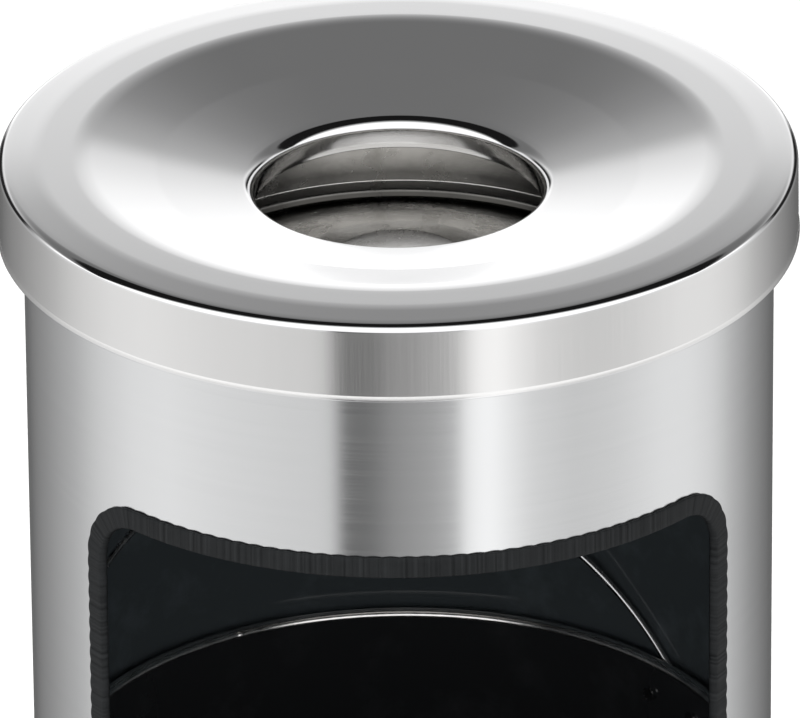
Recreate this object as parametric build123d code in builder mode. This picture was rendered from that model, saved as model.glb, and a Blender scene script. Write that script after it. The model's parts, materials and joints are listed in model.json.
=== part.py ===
from build123d import *

import math
import os

# Ashtray bin: round casing with a side opening, lift-off lid and ash bowl, inner bin with handle.
# Frame: millimetres, +Z up, origin at the middle of the footprint on the floor. The side opening
# faces -Y. Every height hangs from the overall height, and every radius from the casing's.

# ---------------------------------------------------------------- driving dimensions
height = 620.0  # floor to the lid's crest
casing_radius = 121.75  # outside of the rolled casing
casing_sheet = 1.0

# lid pressing
lid_overhang = 8.25  # skirt's foot stands out from the casing by this
lid_sheet = 1.0
skirt_depth = 27.2  # crest to the skirt's foot
skirt_draft = 0.6  # the skirt's top is this much smaller in radius
shoulder_drop = 1.05  # the ring's outer corner lies this far below the crest
shoulder_round = 2.7
ring_inset = 13.0  # from the skirt's foot in to the ring's middle
ring_drop = 0.1  # crest to the ring's middle; the ring is slightly domed
ring_round = 60.0
crest_inset = 27.5  # from the skirt's foot in to the crest
crest_round = 30.0
funnel_inset = 24.5  # from the crest in to the funnel's change of slope
funnel_drop = 5.7
funnel_round = 60.0
hole_radius = 47.0  # ash hole, at the collar's outer face
lip_drop = 11.9  # crest to the funnel's meeting with the collar
lip_round = 4.4
collar_depth = 21.5  # crest to the collar's lower edge

# ash bowl
bowl_sheet = 1.0
seat_gap = 0.3  # between the lid and the bowl's rolled rim, and other resting curved faces
bowl_bead_radius = 2.5
bowl_bead_reach = 5.55  # the rolled rim stands out from the casing by this
rebate_gap = 0.4  # the flange's step to the inside of the casing
rebate_depth = 3.0
bowl_wall_inset = 33.4  # from the casing in to the bowl's wall
bowl_wall_draft = 1.7
bowl_step_drop = 53.5  # crest to the step in the wall
bowl_step_inset = 3.0
bowl_step_height = 2.0
bowl_depth = 57.0  # crest to the bowl's lowest ring
bowl_ring_inset = 39.7  # from the casing in to the lowest ring
bowl_rise = 15.8  # the floor climbs this much towards the middle
bowl_dish_radius = 33.0  # edge of the raised middle
bowl_button_radius = 21.0  # flat top of the raised middle
bowl_button_rise = 2.4
bowl_bends = (0.2, 1.3, 5.0, 1.6, 1.4, 2.5, 8.0, 3.0)  # bend radii of the lower face, rim to middle
bead_open = 30.0  # degrees below level where the rolled rim's edge stops, on its inner side

# side opening and its rubber edging
opening_half_angle = 54.5  # degrees each side of the front
opening_drop = 92.0  # crest to the opening's top edge
opening_height = 115.0
opening_round = 18.0
trim_overlap = 6.0  # how far the edging's legs reach over the sheet
trim_web = 1.5
trim_leg = 1.2
trim_gap = 0.05

# foot
foot_web = 3.0  # floor ring's thickness under the casing
foot_leg = 2.2
foot_leg_height = 9.0
foot_round = 1.0
base_sheet = 1.0
base_lift = 13.0  # the dish's top stands this far above the casing's lower edge
base_round = 3.0
weld_gap = 0.1  # between nested sheets that are welded or gripped

# inner bin
liner_sheet = 0.8
liner_play = 4.0  # radial room between the rolled rim and the casing
liner_drop = 18.7  # its top lies this far below the opening's lower edge
liner_bead_radius = 2.25
liner_bottom_lift = 5.0
liner_bottom_round = 2.0
seam_angle = 84.0  # degrees from the first ear round to the lock seam
seam_width = 7.0
seam_thick = 0.9
seam_inset = 4.0  # the seam's ends stop this far short of the bin's foot and rolled rim

# handle
ear_angle = 34.0  # degrees from +X to the first ear
ear_width = 34.0
ear_height = 20.0
ear_gap = 0.6  # between the ear and the rolled rim above it
ear_sheet = 1.2
boss_width = 13.0
boss_height = 13.0
boss_gap = 0.5  # boss face to the handle's leg
pivot_drop = 12.5  # liner's top down to the handle's pivot
wire_radius = 1.1
pin_gap = 0.08
leg_gap = 0.3  # handle's leg to the rolled rim that it passes
leg_length = 9.0
hook_round = 1.5
pin_end_gap = 0.5
handle_lean = 47.5  # degrees from upright at rest
rivet_radius = 1.5
rivet_head = 3.0
rivet_dome = 1.4
rivet_gap = 0.05
rivet_spacing = 23.0
rivet_seat = 0.5  # head's face to the sheet beside the rivet, which curves away under it
rivet_foot_thick = 0.8
rivet_foot_inset = 0.5

cut_past = 5.0  # cutters run this far past the faces they cut

# ---------------------------------------------------------------- worked-out sizes
casing_inside = casing_radius - casing_sheet
lid_radius = casing_radius + lid_overhang
shoulder_radius = lid_radius - skirt_draft
crest_radius = lid_radius - crest_inset
shoulder_z = height - shoulder_drop
ring_radius = lid_radius - ring_inset
ring_slope = (shoulder_drop - ring_drop) / (shoulder_radius - ring_radius)

bowl_bead_centre = casing_radius + bowl_bead_reach - bowl_bead_radius
lid_under_rim = shoulder_z + ring_slope * (shoulder_radius - bowl_bead_centre) - lid_sheet
bowl_top = lid_under_rim - seat_gap
casing_top = bowl_top - 2 * bowl_bead_radius

opening_top = height - opening_drop
opening_bottom = opening_top - opening_height
opening_mid = (opening_top + opening_bottom) / 2

base_top = foot_web + base_lift
liner_top = opening_bottom - liner_drop
liner_bead_z = liner_top - liner_bead_radius
liner_rim_radius = casing_inside - liner_play
liner_bead_centre = liner_rim_radius - liner_bead_radius
liner_inside = liner_bead_centre - liner_bead_radius
liner_outside = liner_inside + liner_sheet

pivot_z = liner_top - pivot_drop
leg_radius = liner_rim_radius + leg_gap + wire_radius
boss_radius = leg_radius - wire_radius - boss_gap
ear_inside = liner_outside + weld_gap

rivet_places = (-rivet_spacing / 2, rivet_spacing / 2)

os.makedirs("parts", exist_ok=True)


def save(piece, name):
    """Label a finished piece and write it under its own name."""
    piece.label = name
    export_step(piece, f"parts/{name}.step")


def liner_way(turn):
    """The level direction at an angle from the first ear."""
    angle = math.radians(ear_angle + turn)
    return Vector(math.cos(angle), math.sin(angle), 0)


def liner_section(turn):
    """The upright plane through the axis at an angle from the first ear, x outwards and y up."""
    way = liner_way(turn)
    return Plane(origin=(0, 0, 0), x_dir=way, z_dir=way.cross(Vector(0, 0, 1)))


def window_block(inner_radius, outer_radius, grow):
    """A wedge-ended block of the side opening's outline, grown all round by a margin."""
    side = math.degrees(grow / casing_radius) + opening_half_angle
    with BuildPart() as block:
        with BuildSketch(Plane.XZ.rotated((0, 0, -90 - side))):
            with Locations(((inner_radius + outer_radius) / 2, opening_mid)):
                Rectangle(outer_radius - inner_radius, opening_height + 2 * grow)
        revolve(axis=Axis.Z, revolution_arc=2 * side)
        radial = block.edges().filter_by(GeomType.LINE).filter_by(lambda e: abs(e.tangent_at(0).Z) < 0.5)
        fillet(radial, opening_round + grow)
    return block.part


def wall_patch(inner_radius, outer_radius, width, low, high, turn):
    """A curved plate on the inner bin's wall, centred on an angle from the first ear."""
    half = math.degrees(width / (inner_radius + outer_radius))
    with BuildPart() as patch:
        with BuildSketch(liner_section(turn - half)):
            with Locations(((inner_radius + outer_radius) / 2, (low + high) / 2)):
                Rectangle(outer_radius - inner_radius, high - low)
        revolve(axis=Axis.Z, revolution_arc=2 * half)
    return patch.part


def wall_pin(radius, near, far, along, turn):
    """A round pin or drill across the inner bin's wall at the pivot's height, beside an ear's middle."""
    way = liner_way(turn)
    face = Plane(origin=Vector(0, 0, pivot_z) + way * near, x_dir=liner_way(turn + 90), z_dir=way)
    with BuildPart() as pin:
        with BuildSketch(face):
            with Locations((along, 0)):
                Circle(radius)
        extrude(amount=far - near)
    return pin.part


# ---------------------------------------------------------------- casing
opening_cut = window_block(casing_inside - cut_past, casing_radius + cut_past, 0)

with BuildPart() as body_tube:
    with BuildSketch(Plane.XY.offset(foot_web)):
        Circle(casing_radius)
        Circle(casing_inside, mode=Mode.SUBTRACT)
    extrude(amount=casing_top - foot_web)
    add(opening_cut, mode=Mode.SUBTRACT)
save(body_tube.part, "body_tube")

# ---------------------------------------------------------------- rubber edging of the opening
trim_inside = casing_inside - trim_leg
trim_outside = casing_radius + trim_leg
trim_body = window_block(trim_inside, trim_outside, trim_overlap)
trim_hole = window_block(trim_inside - cut_past, trim_outside + cut_past, -trim_web)
sheet_edge = window_block(casing_inside - cut_past, casing_radius + cut_past, -trim_gap)

with BuildPart() as trim_slot:
    with BuildSketch(Plane.XY.offset(opening_bottom - 2 * trim_overlap)):
        Circle(casing_radius + trim_gap)
        Circle(casing_inside - trim_gap, mode=Mode.SUBTRACT)
    extrude(amount=opening_height + 4 * trim_overlap)
    add(sheet_edge, mode=Mode.SUBTRACT)

with BuildPart() as opening_trim:
    add(trim_body)
    add(trim_hole, mode=Mode.SUBTRACT)
    add(trim_slot.part, mode=Mode.SUBTRACT)
save(opening_trim.part, "opening_trim")

# ---------------------------------------------------------------- casing's floor dish
base_rim = casing_inside - weld_gap

with BuildPart() as base_plate:
    with BuildSketch(Plane.XZ):
        with BuildLine():
            FilletPolyline((base_rim, foot_web), (base_rim, base_top), (0, base_top), radius=base_round)
            offset(amount=base_sheet, side=Side.LEFT)
        make_face()
    revolve(axis=Axis.Z)
save(base_plate.part, "base_plate")

# ---------------------------------------------------------------- floor ring
ring_inner_leg = base_rim - base_sheet - weld_gap
ring_outer_leg = casing_radius + weld_gap

with BuildPart() as floor_ring:
    with BuildSketch(Plane.XY):
        Circle(ring_outer_leg + foot_leg)
        Circle(ring_inner_leg - foot_leg, mode=Mode.SUBTRACT)
    extrude(amount=foot_web + foot_leg_height)
    with BuildSketch(Plane.XY.offset(foot_web)):
        Circle(ring_outer_leg)
        Circle(ring_inner_leg, mode=Mode.SUBTRACT)
    extrude(amount=foot_leg_height, mode=Mode.SUBTRACT)
    rounded = floor_ring.edges().group_by(Axis.Z)[-1] + floor_ring.edges().group_by(Axis.Z)[0]
    fillet(rounded, foot_round)
save(floor_ring.part, "floor_ring")

# ---------------------------------------------------------------- lid
with BuildPart() as lid_cover:
    with BuildSketch(Plane.XZ):
        with BuildLine():
            FilletPolyline(
                (lid_radius, height - skirt_depth),
                (shoulder_radius, shoulder_z),
                (ring_radius, height - ring_drop),
                (crest_radius, height),
                (crest_radius - funnel_inset, height - funnel_drop),
                (hole_radius, height - lip_drop),
                (hole_radius, height - collar_depth),
                radius=(shoulder_round, ring_round, crest_round, funnel_round, lip_round),
            )
            offset(amount=lid_sheet, side=Side.LEFT)
        make_face()
    revolve(axis=Axis.Z)
save(lid_cover.part, "lid_cover")

# ---------------------------------------------------------------- ash bowl and the wire in its rim
# The outline is the bowl's lower face, from the rolled rim in to the middle.
bowl_bead_z = bowl_top - bowl_bead_radius
bowl_rebate = casing_inside - rebate_gap
bowl_flange_z = casing_top - rebate_depth
bowl_wall = casing_radius - bowl_wall_inset + bowl_sheet
bowl_step = bowl_wall - bowl_wall_draft
bowl_step_z = height - bowl_step_drop
bowl_ring = casing_radius - bowl_ring_inset + bowl_sheet
bowl_low_z = height - bowl_depth - bowl_sheet
dish_z = bowl_low_z + bowl_rise

with BuildPart() as ash_bowl:
    with BuildSketch(Plane.XZ):
        with BuildLine():
            CenterArc((bowl_bead_centre, bowl_bead_z), bowl_bead_radius, 180 - bead_open, bead_open - 270)
            FilletPolyline(
                (bowl_bead_centre, casing_top),
                (bowl_rebate, casing_top),
                (bowl_rebate, bowl_flange_z),
                (bowl_wall, bowl_flange_z),
                (bowl_step, bowl_step_z + bowl_step_height / 2),
                (bowl_step - bowl_step_inset, bowl_step_z - bowl_step_height / 2),
                (bowl_ring, bowl_low_z),
                (bowl_dish_radius, dish_z),
                (bowl_button_radius, dish_z + bowl_button_rise),
                (0, dish_z + bowl_button_rise),
                radius=bowl_bends,
            )
            offset(amount=bowl_sheet, side=Side.RIGHT)
        make_face()
    revolve(axis=Axis.Z)
save(ash_bowl.part, "ash_bowl")

with BuildPart() as bowl_rim_wire:
    with BuildSketch(Plane.XZ):
        with Locations((bowl_bead_centre, bowl_bead_z)):
            Circle(bowl_bead_radius - bowl_sheet - weld_gap)
    revolve(axis=Axis.Z)
save(bowl_rim_wire.part, "bowl_rim_wire")

# ---------------------------------------------------------------- inner bin
seam_patch = wall_patch(
    liner_outside - liner_sheet / 2,
    liner_outside + seam_thick,
    seam_width,
    base_top + seam_inset,
    liner_bead_z - seam_inset,
    seam_angle,
)
rivet_drills = [
    wall_pin(rivet_radius + rivet_gap, liner_inside - cut_past, boss_radius + cut_past, along, turn)
    for turn in (0, 180)
    for along in rivet_places
]

with BuildPart() as liner_wall:
    with BuildSketch(liner_section(0)):
        with BuildLine():
            Line((liner_inside, base_top), (liner_inside, liner_bead_z))
            CenterArc((liner_bead_centre, liner_bead_z), liner_bead_radius, 180, -270)
            offset(amount=liner_sheet, side=Side.RIGHT)
        make_face()
    revolve(axis=Axis.Z)
    add(seam_patch)
    add(rivet_drills, mode=Mode.SUBTRACT)
save(liner_wall.part, "liner_wall")

with BuildPart() as liner_rim_wire:
    with BuildSketch(liner_section(0)):
        with Locations((liner_bead_centre, liner_bead_z)):
            Circle(liner_bead_radius - liner_sheet - weld_gap)
    revolve(axis=Axis.Z)
save(liner_rim_wire.part, "liner_rim_wire")

bottom_rim = liner_inside - weld_gap
bottom_top = base_top + liner_bottom_lift

with BuildPart() as liner_bottom:
    with BuildSketch(liner_section(0)):
        with BuildLine():
            FilletPolyline(
                (bottom_rim, base_top), (bottom_rim, bottom_top), (0, bottom_top), radius=liner_bottom_round
            )
            offset(amount=liner_sheet, side=Side.LEFT)
        make_face()
    revolve(axis=Axis.Z)
save(liner_bottom.part, "liner_bottom")

# ---------------------------------------------------------------- ears and their rivets
ear_top = liner_top - 2 * liner_bead_radius - ear_gap
boss_low = pivot_z - boss_height / 2

for turn, side in ((0, "back"), (180, "front")):
    plate = wall_patch(ear_inside, ear_inside + ear_sheet, ear_width, ear_top - ear_height, ear_top, turn)
    boss = wall_patch(ear_inside, boss_radius, boss_width, boss_low, boss_low + boss_height, turn)
    bore = wall_pin(wire_radius + pin_gap, liner_outside - cut_past, boss_radius + cut_past, 0, turn)
    with BuildPart() as ear:
        add([plate, boss])
        add([bore] + rivet_drills, mode=Mode.SUBTRACT)
    save(ear.part, f"handle_ear_{side}")

    with BuildPart() as rivets:
        for along in rivet_places:
            curve_back = math.cos(math.asin(along / ear_inside))
            head_face = (ear_inside + ear_sheet) * curve_back + rivet_seat
            foot_face = liner_inside * curve_back - rivet_seat
            add(wall_pin(rivet_radius, foot_face, head_face, along, turn))
            add(wall_pin(rivet_head, head_face, head_face + rivet_dome, along, turn))
            add(wall_pin(rivet_head - rivet_foot_inset, foot_face - rivet_foot_thick, foot_face, along, turn))
    save(rivets.part, f"ear_rivets_{side}")

# ---------------------------------------------------------------- handle
lean = math.radians(handle_lean)
ear_way = liner_way(0)
up_way = liner_way(90) * math.sin(lean) + Vector(0, 0, math.cos(lean))
handle_plane = Plane(origin=(0, 0, pivot_z), x_dir=ear_way, z_dir=ear_way.cross(up_way))
pin_end = liner_outside + pin_end_gap

with BuildPart() as bail_handle:
    with BuildLine(handle_plane) as wire_path:
        FilletPolyline((pin_end, 0), (leg_radius, 0), (leg_radius, leg_length), radius=hook_round)
        CenterArc((0, leg_length), leg_radius, 0, 180)
        FilletPolyline((-leg_radius, leg_length), (-leg_radius, 0), (-pin_end, 0), radius=hook_round)
    handle_wire = wire_path.wires()[0]
    with BuildSketch(Plane(origin=handle_wire @ 0, z_dir=handle_wire % 0)):
        Circle(wire_radius)
    sweep(path=handle_wire)
save(bail_handle.part, "bail_handle")
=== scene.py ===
import json
import math

import bmesh
import bpy
import numpy as np
from mathutils import Matrix, Vector


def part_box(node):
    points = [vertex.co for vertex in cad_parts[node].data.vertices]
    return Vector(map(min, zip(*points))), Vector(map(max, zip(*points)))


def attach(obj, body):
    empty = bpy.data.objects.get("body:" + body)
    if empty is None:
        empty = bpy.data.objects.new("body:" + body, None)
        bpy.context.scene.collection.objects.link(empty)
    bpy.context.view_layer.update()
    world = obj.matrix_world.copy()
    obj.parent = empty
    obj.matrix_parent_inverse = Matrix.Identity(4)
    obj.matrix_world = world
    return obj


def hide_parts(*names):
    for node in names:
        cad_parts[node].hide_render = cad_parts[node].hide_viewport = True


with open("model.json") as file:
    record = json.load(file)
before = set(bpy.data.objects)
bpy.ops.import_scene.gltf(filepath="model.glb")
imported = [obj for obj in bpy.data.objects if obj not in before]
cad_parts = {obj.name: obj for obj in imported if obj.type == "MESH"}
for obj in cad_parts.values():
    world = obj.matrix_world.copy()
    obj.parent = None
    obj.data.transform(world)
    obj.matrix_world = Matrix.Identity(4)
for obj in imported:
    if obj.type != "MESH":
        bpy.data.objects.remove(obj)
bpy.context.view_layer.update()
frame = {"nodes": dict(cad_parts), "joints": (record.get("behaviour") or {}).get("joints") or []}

print("frame loaded:", len(frame["nodes"]), "nodes")

mm = 0.001  # everything below is written in millimetres and turned to metres once
poleWeld = 0.0005  # points nearer than this, at a pole or a tip, become one


def boxOf(node):
    # lowest and highest corner of a node, in millimetres
    low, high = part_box(node)
    return np.array(low) / mm, np.array(high) / mm


def roundedLine(points, radii, step=0.5):
    # straight runs joined by tangent arcs: at each inner corner the tangent length is
    # radius * tan(half the turn), and the arc is swept about the centre that both runs touch
    pts = np.array(points, float)
    out, tan = [pts[0]], [(pts[1] - pts[0]) / np.linalg.norm(pts[1] - pts[0])]
    for k, radius in enumerate(radii):
        a, b, c = pts[k], pts[k + 1], pts[k + 2]
        u = (b - a) / np.linalg.norm(b - a)
        v = (c - b) / np.linalg.norm(c - b)
        turn = math.atan2(u[0] * v[1] - u[1] * v[0], u @ v)
        cut = radius * math.tan(abs(turn) / 2)
        side = np.array([-u[1], u[0]]) * math.copysign(1, turn)
        centre = b - u * cut + side * radius
        count = max(4, int(abs(turn) * radius / step) + 2)
        angle = np.linspace(0, turn, count)
        spoke = -side * radius
        out += [centre + np.array([spoke[0] * math.cos(t) - spoke[1] * math.sin(t),
                                   spoke[0] * math.sin(t) + spoke[1] * math.cos(t)]) for t in angle]
        tan += [np.array([u[0] * math.cos(t) - u[1] * math.sin(t),
                          u[0] * math.sin(t) + u[1] * math.cos(t)]) for t in angle]
    out.append(pts[-1])
    tan.append((pts[-1] - pts[-2]) / np.linalg.norm(pts[-1] - pts[-2]))
    return np.array(out), np.array(tan)


def arcLine(centre, radius, start, sweep, count=24):
    # points on a circle from one angle through a sweep, with the way of travel at each
    angle = np.radians(start + np.linspace(0, sweep, count))
    way = math.copysign(1, sweep)
    points = np.array(centre) + radius * np.stack([np.cos(angle), np.sin(angle)], 1)
    return points, way * np.stack([-np.sin(angle), np.cos(angle)], 1)


def joinLines(*lines):
    # several (points, tangents) pairs one after another, without the doubled joints
    points, tangents = lines[0]
    for nextPoints, nextTangents in lines[1:]:
        points = np.concatenate([points, nextPoints[1:]])
        tangents = np.concatenate([tangents, nextTangents[1:]])
    return points, tangents


def fineRuns(points, tangents, longest=6.0):
    # long straight runs get in-between points, so that bump and bakes have even faces
    gap = np.linalg.norm(np.diff(points, axis=0), axis=1)
    newPoints, newTangents = [points[:1]], [tangents[:1]]
    for k, length in enumerate(gap):
        if length < 1e-6:
            continue
        t = np.linspace(0, 1, max(1, int(math.ceil(length / longest))) + 1)[1:, None]
        newPoints.append(points[k] * (1 - t) + points[k + 1] * t)
        before = tangents[k] if length > longest else tangents[k + 1]
        newTangents.append(np.where(t < 1, before, tangents[k + 1]))
    return np.concatenate(newPoints), np.concatenate(newTangents)


def sheetSection(points, tangents, thickness, inwards, roundEnds=(True, True)):
    # a closed outline round a sheet: the given face, the same face moved along its normal by
    # the thickness, and a half circle at each free end
    normal = np.stack([-tangents[:, 1], tangents[:, 0]], 1) * inwards
    other = points + normal * thickness
    turn = np.linspace(0, math.pi, 7)[1:-1, None]

    def cap(k, way):
        middle = (points[k] + other[k]) / 2
        half = (points[k] - other[k]) / 2
        return middle + half * np.cos(turn) + way * tangents[k] * thickness / 2 * np.sin(turn)

    rows = [points]
    if roundEnds[1]:
        rows.append(cap(-1, 1))
    rows.append(other[::-1])
    if roundEnds[0]:
        rows.append(cap(0, -1)[::-1])
    return np.concatenate(rows)


def gridMesh(name, grid, wrapU=False, wrapV=False, materials=(), faceSlot=None, weld=0.0):
    # a surface from a grid of points (rows u, columns v): each cell is one quad, and a wrapped
    # direction joins its last row to its first; normals are then turned outwards
    rows, columns = grid.shape[:2]
    lastU, lastV = (rows if wrapU else rows - 1), (columns if wrapV else columns - 1)
    u, v = np.meshgrid(np.arange(lastU), np.arange(lastV), indexing="ij")
    row, nextRow, nextV = u * columns, (u + 1) % rows * columns, (v + 1) % columns
    quads = np.stack([row + v, nextRow + v, nextRow + nextV, row + nextV], -1)
    mesh = bpy.data.meshes.new(name)
    mesh.from_pydata((grid.reshape(-1, 3) * mm).tolist(), [], quads.reshape(-1, 4).tolist())
    for material in materials:
        mesh.materials.append(material)
    if faceSlot is not None:
        mesh.polygons.foreach_set("material_index", faceSlot(grid, quads).ravel().astype(np.int32))
    work = bmesh.new()
    work.from_mesh(mesh)
    if weld:
        bmesh.ops.remove_doubles(work, verts=work.verts, dist=weld * mm)
    bmesh.ops.recalc_face_normals(work, faces=work.faces)
    work.to_mesh(mesh)
    work.free()
    mesh.shade_smooth()
    mesh.update()
    piece = bpy.data.objects.new(name, mesh)
    bpy.context.scene.collection.objects.link(piece)
    return piece


def lathe(name, section, segments=360, centre=(0, 0), closed=True, ripple=None, **rest):
    # a section of (radius, height) points turned about an upright axis:
    # x = radius * cos(angle), y = radius * sin(angle), z = height; ripple may add to the radius
    angle = np.linspace(0, 2 * math.pi, segments, endpoint=False)[:, None]
    radius = np.broadcast_to(section[None, :, 0], (segments, len(section)))
    height = np.broadcast_to(section[None, :, 1], (segments, len(section)))
    if ripple is not None:
        radius, height = ripple(angle, radius, height)
    grid = np.stack([centre[0] + radius * np.cos(angle), centre[1] + radius * np.sin(angle), height], -1)
    return gridMesh(name, grid, wrapU=True, wrapV=closed, weld=poleWeld, **rest)


def tube(name, path, radius, around=20, **rest):
    # a round bar along a path: each ring stands square to the path's way there, and the frame is
    # carried from ring to ring by taking out the part that leans along the path
    ahead = np.gradient(path, axis=0)
    ahead /= np.linalg.norm(ahead, axis=1)[:, None]
    side = np.cross(ahead[0], ahead[len(ahead) // 2])
    side = np.cross(ahead, np.broadcast_to(side, ahead.shape))
    side /= np.linalg.norm(side, axis=1)[:, None]
    up = np.cross(ahead, side)
    angle = np.linspace(0, 2 * math.pi, around, endpoint=False)
    ring = np.cos(angle)[None, :, None] * side[:, None, :] + np.sin(angle)[None, :, None] * up[:, None, :]
    grid = path[:, None, :] + radius * ring
    tip = 0.6 * radius  # each end is a low dome: rings that shrink as they move on along an ellipse

    def dome(end, way, shrink):
        onward = way * ahead[end] * tip * math.sqrt(1 - (1 - shrink) ** 2)
        return np.array([grid[end] * (1 - shrink) + path[end] * shrink + onward])

    first = [dome(0, -1, shrink) for shrink in (1.0, 0.6, 0.25)]
    last = [dome(-1, 1, shrink) for shrink in (0.25, 0.6, 1.0)]
    grid = np.concatenate(first + [grid] + last)
    return gridMesh(name, grid, wrapV=True, weld=poleWeld, **rest)


def keep(piece, body, slot, *nodes):
    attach(piece, body)
    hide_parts(*nodes)
    print("made", piece.name, len(piece.data.polygons), "faces")
    return piece


def startMaterial(name):
    material = bpy.data.materials.new(name)
    material.use_nodes = True
    tree = material.node_tree
    shader = tree.nodes["Principled BSDF"]
    place = tree.nodes.new("ShaderNodeTexCoord")
    return material, tree, shader, place.outputs["Object"]


def scaled(tree, vector, scale):
    mapping = tree.nodes.new("ShaderNodeMapping")
    mapping.inputs["Scale"].default_value = scale
    tree.links.new(vector, mapping.inputs["Vector"])
    return mapping.outputs["Vector"]


def noise(tree, vector, scale, size=1.0, detail=3.0, rough=0.5):
    # noise in metres: size is how many cells to the metre once the axes are scaled
    node = tree.nodes.new("ShaderNodeTexNoise")
    node.inputs["Scale"].default_value = size
    node.inputs["Detail"].default_value = detail
    node.inputs["Roughness"].default_value = rough
    tree.links.new(scaled(tree, vector, scale), node.inputs["Vector"])
    return node.outputs["Fac"]


def spread(tree, value, low, high, fromLow=0.3, fromHigh=0.7):
    node = tree.nodes.new("ShaderNodeMapRange")
    node.inputs["From Min"].default_value = fromLow
    node.inputs["From Max"].default_value = fromHigh
    node.inputs["To Min"].default_value = low
    node.inputs["To Max"].default_value = high
    tree.links.new(value, node.inputs["Value"])
    return node.outputs["Result"]


def calc(tree, kind, a, b=0.0):
    node = tree.nodes.new("ShaderNodeMath")
    node.operation = kind
    for socket, value in zip(node.inputs, (a, b)):
        if isinstance(value, (int, float)):
            socket.default_value = value
        else:
            tree.links.new(value, socket)
    return node.outputs[0]


def blend(tree, value, first, second):
    # the first colour where the value is 0, the second where it is 1
    node = tree.nodes.new("ShaderNodeMix")
    node.data_type = "RGBA"
    for socket, colour in ((node.inputs[6], first), (node.inputs[7], second)):
        if isinstance(colour, tuple):
            socket.default_value = (*colour, 1)
        else:
            tree.links.new(colour, socket)
    tree.links.new(value, node.inputs[0])
    return node.outputs[2]


def bump(tree, shader, height, depth, strength=1.0):
    node = tree.nodes.new("ShaderNodeBump")
    node.inputs["Distance"].default_value = depth * mm
    node.inputs["Strength"].default_value = strength
    tree.links.new(height, node.inputs["Height"])
    tree.links.new(node.outputs["Normal"], shader.inputs["Normal"])


def turningRings(tree, vector, lines):
    # noise drawn from the distance to the upright axis alone
    parts = tree.nodes.new("ShaderNodeSeparateXYZ")
    tree.links.new(vector, parts.inputs[0])
    square = calc(tree, "ADD", calc(tree, "MULTIPLY", parts.outputs[0], parts.outputs[0]),
                  calc(tree, "MULTIPLY", parts.outputs[1], parts.outputs[1]))
    ringPlace = tree.nodes.new("ShaderNodeCombineXYZ")
    tree.links.new(calc(tree, "SQRT", square), ringPlace.inputs[0])
    return noise(tree, ringPlace.outputs[0], (lines,) * 3, detail=2.0)


brushed = {
    "base": (0.74, 0.745, 0.75),
    "rough": (0.13, 0.19),
    "grainAcross": 2600,  # cells to the metre across the grain
    "grainAlong": 14,
    "cloud": (9, 9, 6),  # cells to the metre of the slow change in gloss
    "depth": 0.0005,
    "stretch": 0.5,  # of the highlight
}


def brushedSteel(name, upright, base=brushed["base"], rough=brushed["rough"], depth=brushed["depth"]):
    # fine drawn lines: noise squeezed across the grain and drawn out along it
    material, tree, shader, place = startMaterial(name)
    across, along = brushed["grainAcross"], brushed["grainAlong"]
    stretch = (across, across, along) if upright else (along, along, across)
    fine = noise(tree, place, stretch, detail=2.0)
    broad = noise(tree, place, tuple(s * 0.12 for s in stretch), detail=3.0)
    cloud = noise(tree, place, brushed["cloud"], detail=2.0)
    mixed = calc(tree, "ADD", calc(tree, "MULTIPLY", fine, 0.6), calc(tree, "MULTIPLY", broad, 0.4))
    tree.links.new(blend(tree, spread(tree, mixed, 0, 1), tuple(c * 0.97 for c in base), base),
                   shader.inputs["Base Color"])
    roughness = calc(tree, "ADD", spread(tree, mixed, *rough), spread(tree, cloud, -0.02, 0.03))
    tree.links.new(roughness, shader.inputs["Roughness"])
    bump(tree, shader, mixed, depth)
    shader.inputs["Metallic"].default_value = 1.0
    shader.inputs["Anisotropic"].default_value = brushed["stretch"]
    shader.inputs["Anisotropic Rotation"].default_value = 0.25
    return material


polished = {
    "base": (0.80, 0.80, 0.805),
    "rough": (0.055, 0.10),
    "lines": 900,  # polishing rings to the metre of radius
    "haze": 22,
}


def polishedSteel(name):
    material, tree, shader, place = startMaterial(name)
    rings = turningRings(tree, place, polished["lines"])
    haze = noise(tree, place, (polished["haze"],) * 3, detail=3.0)
    roughness = calc(tree, "ADD", spread(tree, rings, 0, 0.02), spread(tree, haze, *polished["rough"]))
    tree.links.new(roughness, shader.inputs["Roughness"])
    tree.links.new(blend(tree, spread(tree, haze, 0, 1), tuple(c * 0.985 for c in polished["base"]),
                        polished["base"]), shader.inputs["Base Color"])
    bump(tree, shader, rings, 0.0002)
    shader.inputs["Metallic"].default_value = 1.0
    return material


bowlFinish = {
    "clean": (0.70, 0.69, 0.67),
    "stained": (0.30, 0.285, 0.26),
    # painted shade: the near-black colour laid in the bowl's lowest groove
    "grooveShade": (0.06, 0.058, 0.054),
    "grooveShadeBand": (565.3, 567.8),  # heights over which the painted shade of the lowest groove fades out
    "rough": (0.16, 0.34),
    "lines": 500,  # turning rings to the metre of radius
    "stains": 38,
    "blots": 150,
}


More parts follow.
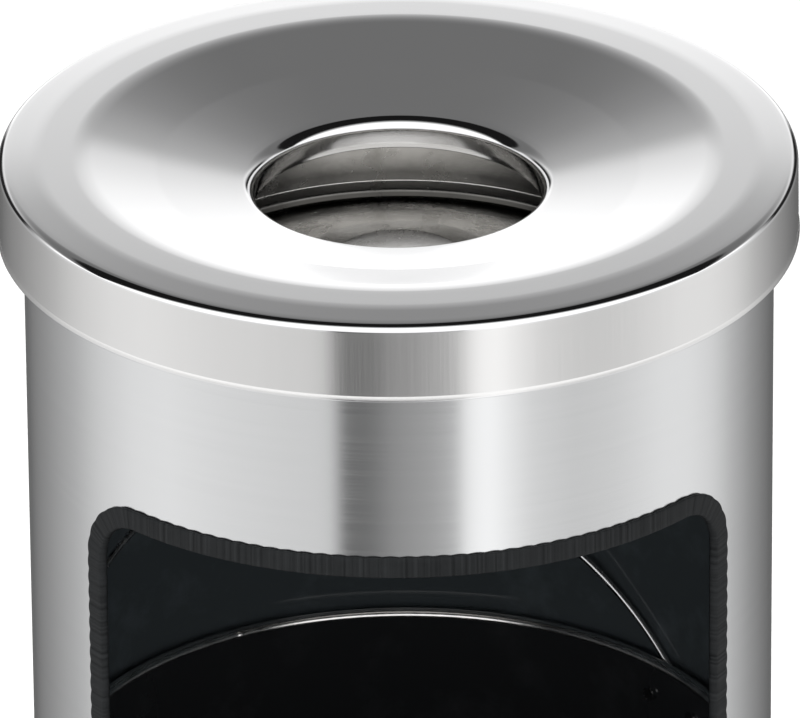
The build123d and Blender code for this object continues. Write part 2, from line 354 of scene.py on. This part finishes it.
def bowlSteel(name):
    # pressed steel with turning rings, ash stains and small pits; the lowest groove is painted near black
    # as shade
    material, tree, shader, place = startMaterial(name)
    rings = turningRings(tree, place, bowlFinish["lines"])
    stain = noise(tree, place, (bowlFinish["stains"],) * 3, detail=6.0, rough=0.62)
    blots = noise(tree, place, (bowlFinish["blots"],) * 3, detail=4.0, rough=0.6)
    dirt = calc(tree, "MULTIPLY", spread(tree, stain, 0, 1, 0.42, 0.68),
                spread(tree, blots, 0.35, 1, 0.35, 0.6))
    parts = tree.nodes.new("ShaderNodeSeparateXYZ")
    tree.links.new(place, parts.inputs[0])
    low, high = (depth * mm for depth in bowlFinish["grooveShadeBand"])
    # painted shade: below the band the colour goes near black, standing in for the shade in the lowest
    # groove; above it the stained metal shows
    grooveShade = spread(tree, parts.outputs[2], 1, 0, low, high)
    metal = blend(tree, calc(tree, "MULTIPLY", dirt, 0.6), bowlFinish["clean"], bowlFinish["stained"])
    tree.links.new(blend(tree, grooveShade, metal, bowlFinish["grooveShade"]), shader.inputs["Base Color"])
    roughness = calc(tree, "ADD", spread(tree, dirt, *bowlFinish["rough"], 0, 1),
                     spread(tree, rings, 0, 0.06))
    tree.links.new(roughness, shader.inputs["Roughness"])
    bump(tree, shader, calc(tree, "ADD", calc(tree, "MULTIPLY", rings, 0.3), blots), 0.02)
    shader.inputs["Metallic"].default_value = 1.0
    return material


paint = {
    "wall": (0.062, 0.073, 0.080),
    "wallRough": (0.10, 0.17),
    "bin": (0.021, 0.022, 0.024),
    "binRough": (0.14, 0.22),
    "peel": 420,
    "peelDepth": 0.006,
    "dust": 60,
}


def blackPaint(name, base, rough):
    # gloss paint with a faint orange peel and dust
    material, tree, shader, place = startMaterial(name)
    peel = noise(tree, place, (paint["peel"],) * 3, detail=2.0)
    dust = noise(tree, place, (paint["dust"],) * 3, detail=5.0, rough=0.6)
    dusty = tuple(c * 1.5 for c in base)
    tree.links.new(blend(tree, spread(tree, dust, 0, 1, 0.5, 0.8), base, dusty),
                   shader.inputs["Base Color"])
    tree.links.new(spread(tree, dust, *rough), shader.inputs["Roughness"])
    bump(tree, shader, peel, paint["peelDepth"])
    return material


rubber = {
    "dark": (0.003, 0.0034, 0.0038),
    "light": (0.018, 0.0193, 0.0203),
    "gloss": 0.10,
    "rough": (0.42, 0.60),
    "ribs": 0.75,  # fine ribs to the millimetre of edging
    "ribDepth": 0.35,
    "bloom": 90,
    "pores": 2400,
    "poreDepth": 0.03,
}


def blackRubber(name, ribbed=False):
    # dull rubber; the edging also has fine cross ribs, noise drawn from its "along" distance
    material, tree, shader, place = startMaterial(name)
    bloom = noise(tree, place, (rubber["bloom"],) * 3, detail=5.0, rough=0.6)
    pores = noise(tree, place, (rubber["pores"],) * 3, detail=2.0)
    shade, relief, depth = bloom, pores, rubber["poreDepth"]
    if ribbed:
        along = tree.nodes.new("ShaderNodeAttribute")
        along.attribute_name = "along"
        line = tree.nodes.new("ShaderNodeCombineXYZ")
        tree.links.new(along.outputs["Fac"], line.inputs[0])
        ribs = noise(tree, line.outputs[0], (rubber["ribs"],) * 3, detail=1.5, rough=0.6)
        shade = calc(tree, "ADD", calc(tree, "MULTIPLY", bloom, 0.25), calc(tree, "MULTIPLY", ribs, 0.75))
        relief, depth = calc(tree, "ADD", ribs, calc(tree, "MULTIPLY", pores, 0.08)), rubber["ribDepth"]
    tree.links.new(blend(tree, spread(tree, shade, 0, 1), rubber["dark"], rubber["light"]),
                   shader.inputs["Base Color"])
    tree.links.new(spread(tree, bloom, *rubber["rough"]), shader.inputs["Roughness"])
    shader.inputs["Specular IOR Level"].default_value = rubber["gloss"]
    bump(tree, shader, relief, depth)
    return material


zinc = {
    "wire": (0.66, 0.66, 0.67),
    "plate": (0.56, 0.56, 0.57),
    "rough": (0.16, 0.30),
    "bead": (0.90, 0.89, 0.88),
    "beadRough": (0.16, 0.24),
    "cloud": 160,
    "fine": 1500,
    "depth": 0.004,
}


def zincSteel(name, base, rough=zinc["rough"]):
    # plated steel, clouded, with a very fine tooth
    material, tree, shader, place = startMaterial(name)
    cloud = noise(tree, place, (zinc["cloud"],) * 3, detail=4.0, rough=0.6)
    fine = noise(tree, place, (zinc["fine"],) * 3, detail=2.0)
    tree.links.new(blend(tree, spread(tree, cloud, 0, 1), tuple(c * 0.72 for c in base), base),
                   shader.inputs["Base Color"])
    tree.links.new(spread(tree, cloud, *rough), shader.inputs["Roughness"])
    bump(tree, shader, fine, zinc["depth"])
    shader.inputs["Metallic"].default_value = 1.0
    return material


casingSteel = brushedSteel("casingSteel", upright=False)
skirtSteel = brushedSteel("skirtSteel", upright=True, base=(0.76, 0.755, 0.75), rough=(0.14, 0.22),
                          depth=0.0008)
lidSteel = polishedSteel("lidSteel")
dishSteel = bowlSteel("dishSteel")
insidePaint = blackPaint("insidePaint", paint["wall"], paint["wallRough"])
linerPaint = blackPaint("linerPaint", paint["bin"], paint["binRough"])
edgingRubber = blackRubber("edgingRubber", ribbed=True)
ringPlastic = blackRubber("ringPlastic")
wireZinc = zincSteel("wireZinc", zinc["wire"])
plateZinc = zincSteel("plateZinc", zinc["plate"])
beadZinc = zincSteel("beadZinc", zinc["bead"], zinc["beadRough"])
print("materials made")

# Lid: one pressing with a turned-out foot, skirt, domed ring, funnel and collar.
lid = {
    "sheet": 1.0,
    "skirtDepth": 27.2,  # crest to the skirt's foot
    "draft": 0.6,
    "shoulderDrop": 1.05,
    "shoulderRound": 2.7,
    "hemFlare": 0.35,  # the skirt's foot turns out by this
    "hemHeight": 1.3,
    "ringInset": 13.0,
    "ringDrop": 0.1,
    "ringRound": 60.0,
    "crestInset": 27.5,
    "crestRound": 30.0,
    "funnelInset": 24.5,
    "funnelDrop": 5.7,
    "funnelRound": 60.0,
    "holeRadius": 47.0,
    "lipDrop": 11.9,
    "lipRound": 4.4,
    "collarDepth": 21.5,
    "grainTop": 4.4,  # the brushed finish runs from this far below the crest
    "grainFoot": 0.9,  # to this far above the foot
    "turns": 420,
}

lidLow, lidHigh = boxOf("lid_cover")
lidRadius = round(float(lidHigh[1]), 1)
crestZ = float(lidLow[2]) + lid["skirtDepth"]
crestRadius = lidRadius - lid["crestInset"]
half = lid["sheet"] / 2

lidLine = roundedLine(
    [(lidRadius, crestZ - lid["skirtDepth"] + half),
     (lidRadius - lid["hemFlare"], crestZ - lid["skirtDepth"] + half + lid["hemHeight"]),
     (lidRadius - lid["draft"], crestZ - lid["shoulderDrop"]),
     (lidRadius - lid["ringInset"], crestZ - lid["ringDrop"]),
     (crestRadius, crestZ),
     (crestRadius - lid["funnelInset"], crestZ - lid["funnelDrop"]),
     (lid["holeRadius"], crestZ - lid["lipDrop"]),
     (lid["holeRadius"], crestZ - lid["collarDepth"] + half)],
    (0.8, lid["shoulderRound"], lid["ringRound"], lid["crestRound"], lid["funnelRound"], lid["lipRound"]),
    step=0.35)
lidSection = sheetSection(*fineRuns(*lidLine, longest=2.5), lid["sheet"], 1)


def skirtFaces(grid, quads):
    # the outside of the skirt takes the brushed finish, the rest is polished
    middle = grid.reshape(-1, 3)[quads].mean(2)
    reach = np.hypot(middle[..., 0], middle[..., 1])
    height = middle[..., 2] - crestZ + lid["skirtDepth"]
    outside = reach > lidRadius - lid["draft"] - 0.45 * lid["sheet"]
    return outside & (height < lid["skirtDepth"] - lid["grainTop"]) & (height > lid["grainFoot"])


lidPiece = lathe("lid_shell", lidSection, lid["turns"], materials=(lidSteel, skirtSteel),
                 faceSlot=skirtFaces)
keep(lidPiece, "lid", "lid_steel", "lid_cover")

# Ash bowl: rolled rim, flange in the casing's mouth, wall, ledge, groove and raised middle.
bowl = {
    "sheet": 1.0,
    "beadRadius": 2.5,
    "beadOpen": 30.0,
    "rebateGap": 0.4,
    "rebateDepth": 3.0,
    "wall": 89.35,
    "wallDraft": 1.7,
    "stepDrop": 53.5,
    "stepInset": 3.0,
    "stepHeight": 2.0,
    "depth": 58.0,
    "ring": 83.05,
    "rise": 15.8,
    "dishRadius": 33.0,
    "buttonRadius": 21.0,
    "buttonRise": 2.4,
    "bends": (0.2, 1.3, 5.0, 1.6, 1.4, 2.5, 8.0, 3.0),
    "turns": 300,
}

bowlLow, bowlHigh = boxOf("ash_bowl")
beadCentre = round(float(bowlHigh[0]), 1) - bowl["beadRadius"]
beadZ = float(bowlHigh[2]) - bowl["beadRadius"]
seatZ = beadZ - bowl["beadRadius"]
tubeLow, tubeHigh = boxOf("body_tube")
tubeRadius = round(float(tubeHigh[1]), 2)
tubeSheet = 1.0
rebate = tubeRadius - tubeSheet - bowl["rebateGap"]
stepRadius = bowl["wall"] - bowl["wallDraft"]
stepZ = crestZ - bowl["stepDrop"]
lowZ = crestZ - bowl["depth"]
dishZ = lowZ + bowl["rise"]

bowlLine = joinLines(
    arcLine((beadCentre, beadZ), bowl["beadRadius"], 180 - bowl["beadOpen"], bowl["beadOpen"] - 270),
    roundedLine(
        [(beadCentre, seatZ), (rebate, seatZ), (rebate, seatZ - bowl["rebateDepth"]),
         (bowl["wall"], seatZ - bowl["rebateDepth"]),
         (stepRadius, stepZ + bowl["stepHeight"] / 2),
         (stepRadius - bowl["stepInset"], stepZ - bowl["stepHeight"] / 2),
         (bowl["ring"], lowZ), (bowl["dishRadius"], dishZ),
         (bowl["buttonRadius"], dishZ + bowl["buttonRise"]), (0, dishZ + bowl["buttonRise"])],
        bowl["bends"], step=0.4))
bowlSection = sheetSection(*fineRuns(*bowlLine, longest=3.0), bowl["sheet"], -1, (True, False))
bowlSection[:, 0] = np.maximum(bowlSection[:, 0], 0)
bowlPiece = lathe("ash_dish", bowlSection, bowl["turns"], closed=False, materials=(dishSteel,))
keep(bowlPiece, "ash_head", "bowl_steel", "ash_bowl")

# Casing: one rolled sheet with the opening cut through it and a weld line at the back.
casing = {
    "halfAngle": 54.5,  # of the opening, each side of the front
    "openTop": 528.0,
    "openBottom": 413.0,
    "corner": 18.0,
    "seamAngle": 90.0,  # weld at the back
    "seamWidth": 1.1,
    "seamHeight": 0.12,
}

frontAngle = -math.pi / 2
openHalfWidth = math.radians(casing["halfAngle"]) * tubeRadius
openHalfHeight = (casing["openTop"] - casing["openBottom"]) / 2
openMiddle = (casing["openTop"] + casing["openBottom"]) / 2


def windowDistance(s, z):
    # signed distance from the opening's rounded outline on the unrolled sheet: outside the
    # straight sides it is the distance to a box shrunk by the corner radius, less that radius
    dx = np.abs(s) - (openHalfWidth - casing["corner"])
    dz = np.abs(z) - (openHalfHeight - casing["corner"])
    outside = np.hypot(np.maximum(dx, 0), np.maximum(dz, 0))
    return outside + np.minimum(np.maximum(dx, dz), 0) - casing["corner"]


def casingMesh():
    # the unrolled sheet is a grid of angle and height; cells inside the opening are dropped and
    # the vertices left at its edge slide onto the outline along the distance's slope
    angle = np.linspace(-math.pi / 2, 3 * math.pi / 2, 361)[:-1]
    seam = math.radians(casing["seamAngle"]) + np.linspace(-3, 3, 13) / tubeRadius
    angle = np.sort(np.concatenate([angle[np.abs(angle - seam[6]) > 3.4 / tubeRadius], seam]))
    heights = np.concatenate([
        np.linspace(tubeLow[2], casing["openBottom"] - 8, 22)[:-1],
        np.linspace(casing["openBottom"] - 8, casing["openTop"] + 8, 66)[:-1],
        np.linspace(casing["openTop"] + 8, tubeHigh[2], 12)])
    a, z = np.meshgrid(angle, heights, indexing="ij")
    s = ((a - frontAngle + math.pi) % (2 * math.pi) - math.pi) * tubeRadius
    rows, columns = s.shape
    u, v = np.meshgrid(np.arange(rows), np.arange(columns - 1), indexing="ij")
    row, nextRow = u * columns, (u + 1) % rows * columns
    quads = np.stack([row + v, nextRow + v, nextRow + v + 1, row + v + 1], -1)
    quads = quads.reshape(-1, 4)
    flatS, flatZ = s.ravel().copy(), z.ravel().copy() - openMiddle
    inside = windowDistance(flatS, flatZ) < 0
    kept = quads[inside[quads].sum(1) <= 1]
    used = np.zeros(len(flatS), bool)
    used[kept] = True
    dropped = np.zeros(len(flatS), bool)
    dropped[quads[inside[quads].sum(1) > 1]] = True
    edge = used & dropped
    for _ in range(3):
        step = 0.01
        d = windowDistance(flatS[edge], flatZ[edge])
        slopeS = (windowDistance(flatS[edge] + step, flatZ[edge]) - d) / step
        slopeZ = (windowDistance(flatS[edge], flatZ[edge] + step) - d) / step
        flatS[edge] -= d * slopeS
        flatZ[edge] -= d * slopeZ
    number = np.cumsum(used) - 1
    angleNow = flatS / tubeRadius + frontAngle
    fromSeam = (np.abs((angleNow - math.radians(casing["seamAngle"]) + math.pi) % (2 * math.pi) - math.pi)
                * tubeRadius)
    reach = tubeRadius - 0.02 + casing["seamHeight"] * np.exp(-(fromSeam / casing["seamWidth"]) ** 2)
    points = np.stack([reach * np.cos(angleNow), reach * np.sin(angleNow), flatZ + openMiddle], 1)[used]
    mesh = bpy.data.meshes.new("casing_shell")
    mesh.from_pydata((points * mm).tolist(), [], number[kept].tolist())
    mesh.materials.append(casingSteel)
    mesh.materials.append(insidePaint)
    mesh.shade_smooth()
    mesh.update()
    return mesh


casingPiece = bpy.data.objects.new("casing_shell", casingMesh())
bpy.context.scene.collection.objects.link(casingPiece)
wall = casingPiece.modifiers.new("wall", "SOLIDIFY")
wall.thickness = (tubeSheet - 0.02) * mm
wall.offset = -1
wall.material_offset = 1
wall.material_offset_rim = 0
keep(casingPiece, "casing", "casing_steel", "body_tube")

# Rubber edging: a U section pressed on the opening's edge, pinched at an even pitch.
edging = {
    "overlap": 6.0,
    "web": 1.5,
    "leg": 1.2,
    "gap": 0.05,
    "tipRound": 0.6,
    "webRound": 1.1,
    "pitch": 5.5,  # from one pinch to the next
    "pinch": 0.22,
    "wave": 0.25,
}


def windowPath(count):
    # the opening's outline by distance travelled: four straight runs and four quarter circles,
    # each given as start, way and centre on the unrolled sheet
    w, h, c = openHalfWidth, openHalfHeight, casing["corner"]
    runs = [2 * (h - c), c * math.pi / 2, 2 * (w - c), c * math.pi / 2] * 2
    ends = np.cumsum([0] + runs)
    t = np.linspace(0, ends[-1], count, endpoint=False)
    part = np.clip(np.searchsorted(ends, t, side="right") - 1, 0, 7)
    local = t - ends[part]
    straight = part % 2 == 0
    corner = np.array([(w - c, h - c), (-(w - c), h - c), (-(w - c), -(h - c)), (w - c, -(h - c))])
    quarter = part // 2
    angle = quarter * math.pi / 2 + np.where(straight, 0, local / c)
    outwards = np.stack([np.cos(angle), np.sin(angle)], 1)
    along = np.stack([-np.sin(angle), np.cos(angle)], 1)
    previous = corner[(quarter - 1) % 4]
    points = np.where(straight[:, None], previous + outwards * c + along * local[:, None],
                      corner[quarter] + outwards * c)
    return points, outwards, t, ends[-1]


def edgingMesh():
    # a U section carried round the outline: (a, b) is how far over the sheet and how far out of
    # it; a raised cosine of the distance travelled pinches the legs and waves their edges;
    # known flaw: the turn's last point lies at outer, not at minus outer, so the web folds there
    e = edging
    length = windowPath(8)[3]
    count = int(round(length / e["pitch"])) * 8
    points, outwards, t, length = windowPath(count)
    pitch = length / round(length / e["pitch"])
    half = tubeSheet / 2
    outer, inner = half + e["leg"], half + e["gap"]
    turn = np.linspace(-math.pi / 2, math.pi / 2, 7)
    tip, web = e["tipRound"], e["webRound"]
    outerLeg = [(e["overlap"] - tip + tip * math.sin(x),
                 (outer + inner) / 2 + (outer - inner) / 2 * math.cos(x))
                for x in np.linspace(math.pi / 2 + 1.4, 0.25, 6)]
    section = np.array(
        outerLeg
        + [(x, outer) for x in (4.2, 2.6, 1.0)]
        + [(-e["web"] + web - web * math.cos(x),
            outer * math.sin(x) if abs(x) < math.pi / 2 else outer) for x in turn[::-1]]
        + [(x, -outer) for x in (1.0, 2.6, 4.2)]
        + [(p[0], -p[1]) for p in outerLeg[::-1]]
        + [(4.0, -inner), (0.05, -inner), (0.05, inner), (4.0, inner)])
    a, b = section[:, 0][None, :], section[:, 1][None, :]
    pinch = (0.5 - 0.5 * np.cos(2 * math.pi * t / pitch)) ** 0.6
    pinch = pinch[:, None]
    outside = np.clip((np.abs(b) - inner - 0.05) / (outer - inner - 0.05), 0, 1)
    b = b - np.sign(b) * outside * e["pinch"] * (1 - pinch)
    a = a - np.clip((a - 4.6) / 1.4, 0, 1) * e["wave"] * (1 - pinch)
    flat = points[:, None, :] + outwards[:, None, :] * a[..., None]
    reach = tubeRadius - half + b
    angle = flat[..., 0] / tubeRadius + frontAngle
    grid = np.stack([reach * np.cos(angle), reach * np.sin(angle), flat[..., 1] + openMiddle], -1)
    return grid, np.repeat(t, grid.shape[1])


edgingGrid, edgingAlong = edgingMesh()
edgingPiece = gridMesh("edging_rubber", edgingGrid, wrapU=True, wrapV=True, materials=(edgingRubber,))
along = edgingPiece.data.attributes.new("along", "FLOAT", "POINT")
along.data.foreach_set("value", edgingAlong.astype(np.float32))
keep(edgingPiece, "casing", "edging_rubber", "opening_trim")

# Floor ring: a U section gripped on the casing's foot; the dish above it keeps its solid.
foot = {"web": 3.0, "leg": 2.2, "height": 12.0, "gap": 0.1, "round": 1.0}
ringOut = tubeRadius + foot["gap"] + foot["leg"]
ringIn = tubeRadius - tubeSheet - 2 * foot["gap"] - tubeSheet - foot["leg"]
ringLine = roundedLine(
    [(ringOut - foot["leg"], foot["web"]), (ringOut - foot["leg"], foot["height"]),
     (ringOut, foot["height"]), (ringOut, 0), (ringIn, 0), (ringIn, foot["height"]),
     (ringIn + foot["leg"], foot["height"]), (ringIn + foot["leg"], foot["web"])],
    (0.3, 1.0, 1.2, 1.2, 1.0, 0.3), step=0.3)
ringPiece = lathe("foot_ring", fineRuns(*ringLine, longest=3)[0], 260, materials=(ringPlastic,))
keep(ringPiece, "casing", "ring_plastic", "floor_ring")

frame["nodes"]["base_plate"].data.materials.clear()
frame["nodes"]["base_plate"].data.materials.append(insidePaint)

# Inner bin: a wall with a lock seam, rolled outwards at the top over a wire.
liner = {
    "sheet": 0.8,
    "beadRadius": 2.25,
    "seamTurn": 118.0,  # degrees from +X
    "seamWidth": 3.5,
    "seamThick": 0.9,
    "nickWidth": 0.9,
    "nickDepth": (0.35, 0.25),  # sideways and down
    "turns": 540,
}

linerLow, linerHigh = boxOf("liner_wall")
linerMiddle = (linerLow + linerHigh) / 2
rimRadius = round(float(linerHigh[1] - linerLow[1]) / 2, 2)
rimZ = float(linerHigh[2]) - liner["beadRadius"]
rimCentre = rimRadius - liner["beadRadius"]
linerInside = rimCentre - liner["beadRadius"]

linerLine = joinLines(
    roundedLine([(linerInside, linerLow[2] + 0.4), (linerInside, rimZ)], ()),
    arcLine((rimCentre, rimZ), liner["beadRadius"], 180, -265, 40))
linerSection = sheetSection(*fineRuns(*linerLine, longest=10), liner["sheet"], -1)


def linerSeam(angle, radius, height):
    # the lock seam: near its angle the outer face stands out by the folded sheet, and the rolled
    # rim has a shallow nick there
    away = (angle - math.radians(liner["seamTurn"]) + math.pi) % (2 * math.pi) - math.pi
    across = np.abs(away) * linerInside / liner["seamWidth"]
    ridge = 1 / (1 + across ** 8)
    below = 1 / (1 + np.exp((height - rimZ + 5) / 0.6))
    outside = np.clip((radius - linerInside) / liner["sheet"], 0, 1)
    radius = radius + ridge * below * outside * liner["seamThick"]
    nick = np.exp(-(away * linerInside / liner["nickWidth"]) ** 2)
    rim = np.exp(-((height - rimZ) / 3.0) ** 2)
    towards = np.sign(radius - rimCentre) * np.minimum(np.abs(radius - rimCentre), 1)
    sideways, down = liner["nickDepth"]
    return radius - nick * rim * towards * sideways, height - nick * rim * down


def beadFaces(grid, quads):
    # the rolled rim is bare zinc, the wall below it is painted
    return grid.reshape(-1, 3)[quads].mean(2)[..., 2] > rimZ - liner["beadRadius"]


linerPiece = lathe("liner_bucket", linerSection, liner["turns"], centre=linerMiddle[:2], ripple=linerSeam,
                   materials=(linerPaint, beadZinc), faceSlot=beadFaces)
keep(linerPiece, "inner_bin", "black_paint", "liner_wall")

solidFinishes = {
    "liner_bottom": linerPaint,
    "liner_rim_wire": wireZinc,
    "bowl_rim_wire": wireZinc,
    "handle_ear_back": plateZinc,
    "handle_ear_front": plateZinc,
    "ear_rivets_back": wireZinc,
    "ear_rivets_front": wireZinc,
}
for node, material in solidFinishes.items():
    frame["nodes"][node].data.materials.clear()
    frame["nodes"][node].data.materials.append(material)
print("solids finished")

# Handle: a wire bail whose bent ends turn in the ears.
handle = {"wire": 1.1, "leg": 9.0, "lean": 47.5, "reach": 118.15, "pinEnd": 113.55, "hook": 1.5}

swing = next(j for j in frame["joints"] if j["name"] == "handle_swing")
pivot = np.array(swing["pos_m"]) / mm
earWay = np.array(swing["axis"], float)
earWay /= np.linalg.norm(earWay)
backWay = np.cross([0, 0, 1], earWay)
lean = math.radians(handle["lean"])
upWay = backWay * math.sin(lean) + np.array([0, 0, 1]) * math.cos(lean)

hookLine = roundedLine([(handle["pinEnd"], 0), (handle["reach"], 0), (handle["reach"], handle["leg"])],
                       (handle["hook"],), step=0.25)[0]
bowLine = arcLine((0, handle["leg"]), handle["reach"], 0, 180, 200)[0]
wireLine = np.concatenate([hookLine, bowLine[1:], (hookLine * [-1, 1])[::-1][1:]])
wirePath = pivot + wireLine[:, :1] * earWay + wireLine[:, 1:] * upWay
wirePiece = tube("bail_wire", wirePath, handle["wire"], 20, materials=(wireZinc,))
keep(wirePiece, "handle", "zinc_wire", "bail_handle")

# Stage: floor, studio light and camera.
stage = {
    "floorRadius": 26.0,
    "azimuth": -1.9,
    "elevation": 26.05,
    "roll": -0.46,
    "target": (0.0001, 0.0, 0.5445),
    "distance": 4.0,
    "width": 0.2607,  # what the view spans at the target
    "floorTones": ((0.90, 0.90, 0.90), (0.92, 0.92, 0.92)),
    "backdrop": 0.93,
    "topPower": 210,
    "topPlace": (-0.6, -0.8, 4.0),
    "fill": 1.3,
}

ringCount = 96
floorAngle = np.linspace(0, 2 * math.pi, ringCount, endpoint=False)
floorReach = np.array([0, 0.3, 0.8, 2, 6, stage["floorRadius"]])[:, None] / mm
floorGrid = np.stack([floorReach * np.cos(floorAngle), floorReach * np.sin(floorAngle),
                      np.zeros((6, ringCount))], -1)
floorMaterial, floorTree, floorShader, floorPlace = startMaterial("paleFloor")
floorShade = noise(floorTree, floorPlace, (3, 3, 3))
floorTree.links.new(blend(floorTree, floorShade, *stage["floorTones"]), floorShader.inputs["Base Color"])
floorShader.inputs["Roughness"].default_value = 0.9
floorShader.inputs["Specular IOR Level"].default_value = 0.1
floorPiece = gridMesh("floor", floorGrid, wrapV=True, weld=poleWeld, materials=(floorMaterial,))
if floorPiece.data.polygons[0].normal.z < 0:
    floorPiece.data.flip_normals()
floorPiece.visible_glossy = False

world = bpy.data.worlds.new("studio")
bpy.context.scene.world = world
world.use_nodes = True
tree = world.node_tree
background = tree.nodes["Background"]
facing = tree.nodes.new("ShaderNodeTexCoord").outputs["Generated"]
turned = tree.nodes.new("ShaderNodeVectorRotate")
turned.rotation_type = "Z_AXIS"
turned.inputs["Angle"].default_value = math.radians(-stage["azimuth"])
tree.links.new(facing, turned.inputs["Vector"])
parts = tree.nodes.new("ShaderNodeSeparateXYZ")
tree.links.new(turned.outputs[0], parts.inputs[0])
sideways, backwards, upwards = parts.outputs


def lightRamp(value, stops):
    # greys placed along 0 to 1, in linear light
    ramp = tree.nodes.new("ShaderNodeValToRGB")
    ramp.color_ramp.interpolation = "LINEAR"
    points = ramp.color_ramp.elements
    while len(points) > 1:
        points.remove(points[-1])
    points[0].position = stops[0][0]
    points[0].color = (stops[0][1],) * 3 + (1,)
    for place, level in stops[1:]:
        point = points.new(place)
        point.color = (level,) * 3 + (1,)
    tree.links.new(value, ramp.inputs["Fac"])
    return ramp.outputs["Color"]


# Below the horizon the sides of the bin see light strips set round the floor: the ramp runs with
# the angle from the camera's side, from behind on the left (0) through the front (0.5) to the right.
turnedBy = calc(tree, "ARCTAN2", sideways, calc(tree, "MULTIPLY", backwards, -1.0))
around = calc(tree, "ADD", calc(tree, "DIVIDE", turnedBy, 2 * math.pi), 0.5)
aroundStops = [(angle / 360 + 0.5, level) for angle, level in (
    (-180, 0.16), (-164, 0.14), (-151, 0.26), (-140, 0.34), (-120, 0.54), (-105, 0.80), (-90, 0.96),
    (-76, 1.00), (-55, 0.90), (-33, 0.82), (-21, 0.80), (-17, 0.16), (-9, 0.20), (-2, 0.34), (10, 0.45),
    (17, 0.58), (20, 1.15), (27, 1.30), (33, 1.10), (41, 0.86), (55, 0.75), (68, 0.80), (88, 0.98),
    (100, 0.98), (112, 0.86), (124, 0.58), (138, 0.36), (150, 0.24), (164, 0.14), (180, 0.16))]
below = lightRamp(around, aroundStops)

# Above it the lid sees, from the back horizon over the top to the front: a white wall, a dark
# ceiling flag and a wide soft box.
over = calc(tree, "DIVIDE", calc(tree, "ARCTAN2", upwards, backwards), math.pi)
overStops = [(angle / 180, level) for angle, level in (
    (0, 1.45), (10, 1.30), (17, 1.12), (24, 0.88), (27.5, 0.52), (35, 0.30), (40, 0.22), (45, 0.185),
    (56, 0.185), (58.5, 0.01), (108, 0.01), (118, 0.5), (126, 1.3), (150, 1.5), (176, 1.3), (180, 1.0))]
above = lightRamp(over, overStops)

# Two dark flags stand at the back, left and right of the wall.
outwards = spread(tree, calc(tree, "ABSOLUTE", sideways), 0, 1, 0.26, 0.34)
lowAtBack = calc(tree, "MULTIPLY", spread(tree, upwards, 1, 0, 0.22, 0.34),
                 spread(tree, backwards, 0, 1, 0.3, 0.6))
flagged = blend(tree, calc(tree, "MULTIPLY", outwards, lowAtBack), above, (0.02, 0.02, 0.02))
roundabout = blend(tree, spread(tree, upwards, 0, 1, -0.16, -0.08), below, flagged)

# Light that comes by a second reflection, in the hollows, is filled in; the backdrop is plain.
lightPath = tree.nodes.new("ShaderNodeLightPath")
second = spread(tree, lightPath.outputs["Ray Depth"], 0, 0.8, 2.4, 2.6)
filled = blend(tree, second, roundabout, (stage["fill"],) * 3)
seen = blend(tree, lightPath.outputs["Is Camera Ray"], filled, (stage["backdrop"],) * 3)
tree.links.new(seen, background.inputs["Color"])

softTop = bpy.data.lights.new("softTop", "AREA")
softTop.shape = "DISK"
softTop.size = 3.0
softTop.energy = stage["topPower"]
topLight = bpy.data.objects.new("softTop", softTop)
topLight.location = stage["topPlace"]
topLight.rotation_euler = (Vector((0, 0, 0.3)) - topLight.location).to_track_quat("-Z", "Y").to_euler()
topLight.visible_glossy = False
topLight.visible_camera = False
bpy.context.scene.collection.objects.link(topLight)

camera = bpy.data.cameras.new("camera")
camera.sensor_width = 36
camera.lens = camera.sensor_width * stage["distance"] / stage["width"]
camera.clip_start = 0.5
camera.clip_end = 60
cameraObject = bpy.data.objects.new("camera", camera)
azimuth, elevation = math.radians(stage["azimuth"]), math.radians(stage["elevation"])
away = Vector((math.sin(azimuth) * math.cos(elevation), -math.cos(azimuth) * math.cos(elevation),
               math.sin(elevation)))
cameraObject.location = Vector(stage["target"]) + away * stage["distance"]
look = (-away).to_track_quat("-Z", "Y").to_matrix() @ Matrix.Rotation(math.radians(stage["roll"]), 3, "Z")
cameraObject.rotation_euler = look.to_euler()
bpy.context.scene.collection.objects.link(cameraObject)
bpy.context.scene.camera = cameraObject
bpy.context.scene.view_settings.view_transform = "Standard"
print("stage and camera set")

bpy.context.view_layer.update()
